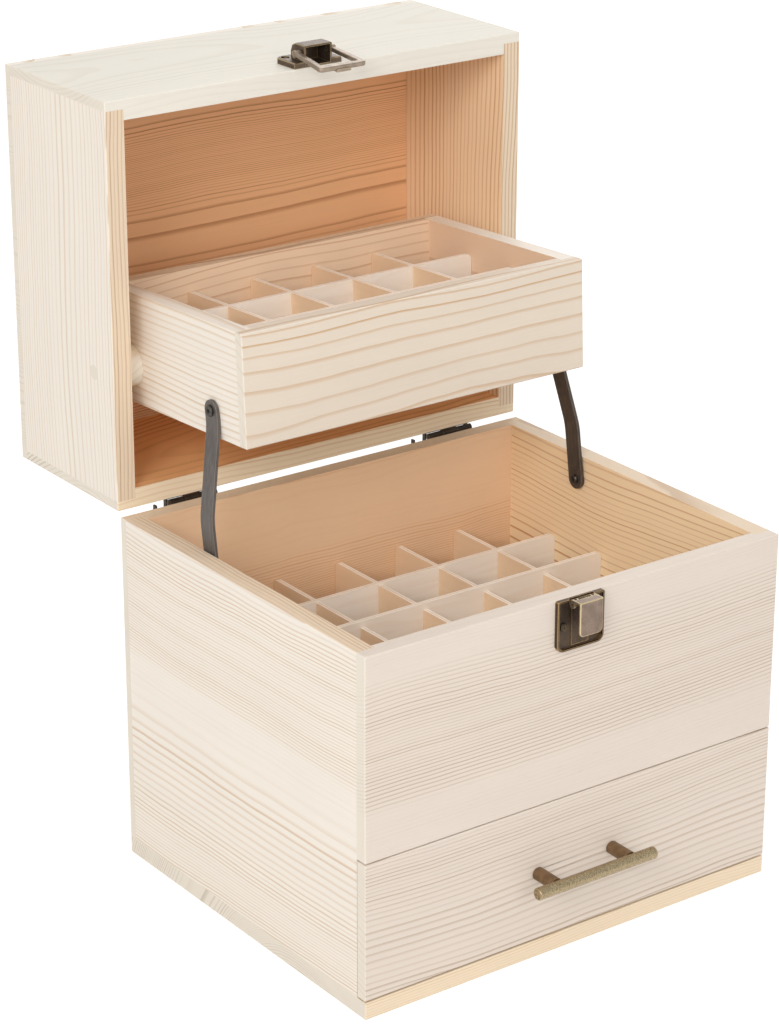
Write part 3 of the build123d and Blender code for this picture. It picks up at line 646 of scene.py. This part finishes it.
SKY_COLOUR = (1.0, 0.985, 0.965, 1.0)
SKY_STRENGTH = 0.6
SEEN_SKY_STRENGTH = 1.0
BLACK = (0.0, 0.0, 0.0, 1.0)
FLOOR_TONE = (0.8, 0.8, 0.8, 1.0)
FLOOR_HALF_SIZE = 12.0

# What the floor gives off to the rays that see it, so that it looks white and keeps its shadow
FLOOR_GLOW = (0.45, 0.45, 0.45, 1.0)

# The rays that see the floor and the sky white. All others are lit by them.
SEEING_RAYS = ("Is Camera Ray", "Is Glossy Ray", "Is Transmission Ray")

# Each lamp: its place, its size, its power and its colour. All look at the same place.
WHITE_LIGHT = (1.0, 1.0, 1.0)
WARM_LIGHT = (1.0, 0.985, 0.97)
LAMPS = {
    "key_lamp": ((-2.1, -1.5, 1.7), 1.3, 33.0, WARM_LIGHT),
    "front_lamp": ((-0.6, -2.8, 1.3), 1.6, 17.0, WARM_LIGHT),
    "top_lamp": ((0.2, 0.2, 2.8), 1.8, 9.0, WHITE_LIGHT),
    "back_lamp": ((2.0, 2.2, 1.5), 1.6, 12.0, WHITE_LIGHT),
}
LAMP_AIM = (0.0, 0.05, 0.2)

# The camera as fitted to the photo: its place, its own directions and its lens in millimetres
CAMERA_PLACE = (-1.0366, -1.3635, 0.91535)
CAMERA_RIGHT = (0.808348, -0.588704, 0.001179)
CAMERA_UP = (0.217141, 0.300016, 0.928892)
CAMERA_FORWARD = (0.547196, 0.750612, -0.370349)
CAMERA_LENS = 109.62


def build_floor():
    size = FLOOR_HALF_SIZE
    mesh = bpy.data.meshes.new("studio_floor")
    corners = [(-size, -size, 0), (size, -size, 0), (size, size, 0), (-size, size, 0)]
    mesh.from_pydata(corners, [], [(0, 1, 2, 3)])
    floor = bpy.data.objects.new("studio_floor", mesh)
    bpy.context.scene.collection.objects.link(floor)
    made = Finish("white_floor", gloss=0.2)
    made.set("Base Color", FLOOR_TONE)
    made.set("Roughness", 0.9)
    rays = made.tree.nodes.new("ShaderNodeLightPath").outputs
    seen = Value(made, rays[SEEING_RAYS[0]])
    for kind in SEEING_RAYS[1:]:
        seen = seen.larger(Value(made, rays[kind]))
    made.set("Emission Color", made.mix(seen, BLACK, FLOOR_GLOW))
    made.set("Emission Strength", 1.0)
    floor.data.materials.append(made.material)


def build_world():
    world = bpy.data.worlds.new("studio")
    bpy.context.scene.world = world
    world.use_nodes = True
    tree = world.node_tree
    light = tree.nodes["Background"]
    light.inputs["Color"].default_value = SKY_COLOUR
    light.inputs["Strength"].default_value = SKY_STRENGTH
    white = tree.nodes.new("ShaderNodeBackground")
    white.inputs["Strength"].default_value = SEEN_SKY_STRENGTH
    rays = tree.nodes.new("ShaderNodeLightPath").outputs
    seen = rays[SEEING_RAYS[0]]
    for kind in SEEING_RAYS[1:]:
        either = tree.nodes.new("ShaderNodeMath")
        either.operation = "MAXIMUM"
        tree.links.new(seen, either.inputs[0])
        tree.links.new(rays[kind], either.inputs[1])
        seen = either.outputs[0]
    mix = tree.nodes.new("ShaderNodeMixShader")
    tree.links.new(seen, mix.inputs[0])
    tree.links.new(light.outputs[0], mix.inputs[1])
    tree.links.new(white.outputs[0], mix.inputs[2])
    tree.links.new(mix.outputs[0], tree.nodes["World Output"].inputs["Surface"])


def build_lamps():
    for name, (place, size, power, colour) in LAMPS.items():
        lamp = bpy.data.lights.new(name, "AREA")
        lamp.shape = "DISK"
        lamp.size = size
        lamp.energy = power
        lamp.color = colour
        holder = bpy.data.objects.new(name, lamp)
        bpy.context.scene.collection.objects.link(holder)
        holder.location = place
        holder.rotation_euler = (Vector(LAMP_AIM) - Vector(place)).to_track_quat("-Z", "Y").to_euler()


def build_camera():
    camera = bpy.data.cameras.new("camera")
    camera.lens = CAMERA_LENS
    camera.sensor_width = 36.0
    camera.sensor_fit = "AUTO"
    camera.clip_end = 100.0
    holder = bpy.data.objects.new("camera", camera)
    bpy.context.scene.collection.objects.link(holder)
    turn = Matrix((Vector(CAMERA_RIGHT), Vector(CAMERA_UP), -Vector(CAMERA_FORWARD))).transposed()
    holder.matrix_world = Matrix.Translation(CAMERA_PLACE) @ turn.to_4x4()
    bpy.context.scene.camera = holder


finish_boards()
finish_plywood()
finish_metal()
soften_edges()
build_floor()
build_world()
build_lamps()
build_camera()
bpy.context.scene.view_settings.view_transform = "Standard"
